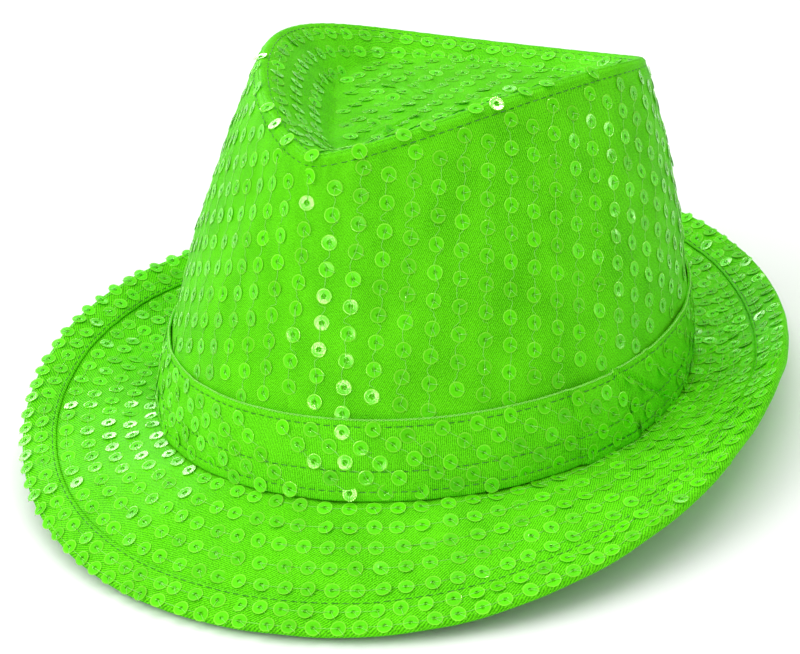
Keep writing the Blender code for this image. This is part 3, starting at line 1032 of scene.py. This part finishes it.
def overlock_edge(thread):
    """Two strands twisted along the folded top edge of the band."""
    angle = np.linspace(0.0, 2.0 * math.pi, 2400)
    centre, _, along, normal = axes_on(band_outer, angle, np.full_like(angle, BAND_HEIGHT))
    twist = angle * MEAN_RADIUS / OVERLOCK_TWIST * 2.0 * math.pi
    strands = []
    for start in (0.0, math.pi):
        offset = (along * np.sin(twist + start)[:, None]
                  + normal * np.cos(twist + start)[:, None]) * OVERLOCK_RADIUS
        strands.append(centre + normal * 0.0001 + offset)
    vertices, faces = tubes(np.stack(strands), np.stack([normal, normal]), 0.00011)
    finish_piece(make_mesh("hat_band_edge_thread", vertices, faces), thread)


def inner_wall(depth):
    """Face this far inside the crown's wall, by angle and height up the wall."""
    def face(angle, height):
        point, _, _, normal = axes_on(crown, angle, height - wall_length(angle))
        return point - normal * depth
    return face


def build_inside(lining, sweat):
    rows = np.linspace(0.0, 1.0, 40)
    side = cloth_grid("crown_side_lining_cloth", inner_wall(LINING_DEPTH), around(240), rows,
                      thickness=LINING_THICKNESS,
                      runs_at=lambda a, r: 0.002 + r * (wall_length(a) - 0.0042))
    finish_piece(side, lining, ("crown_side_lining",))

    def tip_below(angle, inset):
        return crown(angle, inset) - np.array([0.0, 0.0, TIP_LINING_DROP])

    tip = cloth_grid("crown_tip_lining_cloth", tip_below, around(240),
                     np.linspace(0.012, 0.999, 36), thickness=LINING_THICKNESS,
                     planar=True, runs_at=lambda a, r: r * dish_reach(a))
    finish_piece(tip, lining, ("crown_tip_lining",))
    rows = np.linspace(0.0022, 0.028, 16)
    sweatband = cloth_grid("sweatband_cloth", inner_wall(SWEATBAND_DEPTH), around(240), rows,
                           thickness=0.0008)
    finish_piece(sweatband, sweat, ("sweatband",))


# ---------------------------------------------------------------- set

def build_camera():
    """Camera placed about the level hat, then moved with it to rest."""
    azimuth, elevation, roll = CAMERA_AZIMUTH, CAMERA_ELEVATION, CAMERA_ROLL
    right = Vector((math.cos(azimuth), math.sin(azimuth), 0.0))
    level = Vector((-math.sin(azimuth), math.cos(azimuth), 0.0))
    forward = level * math.cos(elevation) - Vector((0.0, 0.0, math.sin(elevation)))
    up = right.cross(forward)
    side = right * math.cos(roll) + up * math.sin(roll)
    top = up * math.cos(roll) - right * math.sin(roll)
    turn = Matrix((side, top, -forward)).transposed().to_4x4()
    data = bpy.data.cameras.new("camera")
    data.lens = CAMERA_LENS
    data.sensor_width = CAMERA_SENSOR
    camera = bpy.data.objects.new("camera", data)
    place = Matrix.Translation(CAMERA_AIM - forward * CAMERA_DISTANCE)
    camera.matrix_world = REST @ place @ turn
    bpy.context.scene.collection.objects.link(camera)
    bpy.context.scene.camera = camera


def area_light(name, location, target, width, height, power, glints):
    """Light that is seen either only in glints or only as soft light."""
    data = bpy.data.lights.new(name, "AREA")
    data.shape = "RECTANGLE"
    data.size = width
    data.size_y = height
    data.energy = power
    light = bpy.data.objects.new(name, data)
    light.location = location
    light.visible_glossy = glints
    light.visible_diffuse = not glints
    direction = Vector(target) - Vector(location)
    light.rotation_euler = direction.to_track_quat("-Z", "Y").to_euler()
    bpy.context.scene.collection.objects.link(light)


def strip_at(name, azimuth, elevation, distance, width, height, turn, power):
    """Narrow light that only adds glints, in this direction from the crown."""
    azimuth, elevation = math.radians(azimuth), math.radians(elevation)
    direction = Vector((math.sin(azimuth) * math.cos(elevation),
                        -math.cos(azimuth) * math.cos(elevation), math.sin(elevation)))
    location = REST @ (GLINT_TARGET + direction * distance)
    area_light(name, location, REST @ GLINT_TARGET, width, height, power, glints=True)
    bpy.data.objects[name].rotation_euler.rotate_axis("Z", math.radians(turn))


def build_world():
    """Sky that is brighter overhead, and plain white where the camera sees it."""
    world = bpy.data.worlds.new("studio")
    bpy.context.scene.world = world
    world.use_nodes = True
    nodes, links = world.node_tree.nodes, world.node_tree.links
    split = nodes.new("ShaderNodeSeparateXYZ")
    links.new(nodes.new("ShaderNodeTexCoord").outputs["Generated"], split.inputs["Vector"])
    height = remap(nodes, links, split.outputs["Z"], From_Min=0.20, To_Min=0.30, To_Max=0.92)
    height.interpolation_type = "SMOOTHSTEP"
    strength = nodes.new("ShaderNodeMix")
    strength.data_type = "FLOAT"
    set_inputs(strength, B=1.0)
    seen = nodes.new("ShaderNodeLightPath").outputs["Is Camera Ray"]
    links.new(seen, strength.inputs["Factor"])
    links.new(height.outputs["Result"], strength.inputs["A"])
    links.new(strength.outputs["Result"], nodes["Background"].inputs["Strength"])
    set_inputs(nodes["Background"], Color=(1.0, 1.0, 1.0, 1.0))


def floor_material():
    """Pale floor that the camera sees turn white away from the hat."""
    material, nodes, links, shader = new_material("pale_floor")
    distance = nodes.new("ShaderNodeVectorMath")
    distance.operation = "LENGTH"
    place = nodes.new("ShaderNodeNewGeometry").outputs["Position"]
    links.new(place, distance.inputs[0])
    fade = remap(nodes, links, distance.outputs["Value"], From_Min=FLOOR_FADE_FROM,
                 From_Max=FLOOR_FADE_TO)
    fade.interpolation_type = "SMOOTHSTEP"
    glow = nodes.new("ShaderNodeMath")
    glow.operation = "MULTIPLY"
    seen = nodes.new("ShaderNodeLightPath").outputs["Is Camera Ray"]
    links.new(fade.outputs["Result"], glow.inputs[0])
    links.new(seen, glow.inputs[1])
    links.new(glow.outputs["Value"], shader.inputs["Emission Strength"])
    set_inputs(shader, Base_Color=(0.93, 0.93, 0.93, 1.0), Roughness=0.8,
               Specular_IOR_Level=0.1, Emission_Color=(1.0, 1.0, 1.0, 1.0))
    return material


def build_set():
    bpy.context.scene.view_settings.view_transform = "Standard"
    build_world()
    for name, location, size, power in SOFT_LIGHTS:
        area_light(name, location, LIGHT_TARGET, size, size, power, glints=False)
    for light in GLINT_LIGHTS:
        strip_at(*light)
    bpy.ops.mesh.primitive_plane_add(size=FLOOR_SIZE, location=(0.0, 0.0, FLOOR_HEIGHT))
    floor = bpy.context.object
    floor.name = "floor"
    floor.data.materials.append(floor_material())


def main():
    green = cloth_material("green_satin", (0.024, 0.275, 0.001, 1.0), (0.152, 0.840, 0.008, 1.0))
    band_green = cloth_material("green_satin_bias", (0.030, 0.310, 0.001, 1.0),
                                (0.165, 0.900, 0.010, 1.0), twill_turn=5.0)
    # The second sequin colour is the painted rim highlight
    sequin = sequin_material("green_sequin", (0.135, 0.870, 0.004, 1.0),
                             (0.320, 0.980, 0.050, 1.0))
    sewing = thread_material("pale_sewing_thread", (0.36, 0.95, 0.12, 1.0))
    # Dark green topstitch thread; its darkness also paints the shade in the needle holes
    stitch = thread_material("dark_topstitch_thread_with_painted_shade", (0.016, 0.20, 0.003, 1.0))
    lining = plain_cloth_material("black_lining", (0.004, 0.004, 0.005, 1.0),
                                  (0.018, 0.018, 0.020, 1.0), 900.0)
    sweat = plain_cloth_material("black_sweatband", (0.006, 0.006, 0.007, 1.0),
                                 (0.035, 0.035, 0.037, 1.0), 500.0)
    build_crown(green, sequin, sewing, stitch)
    build_brim(green, sequin, sewing, stitch)
    build_band(band_green, sequin, sewing, stitch)
    build_inside(lining, sweat)
    build_set()
    build_camera()


main()
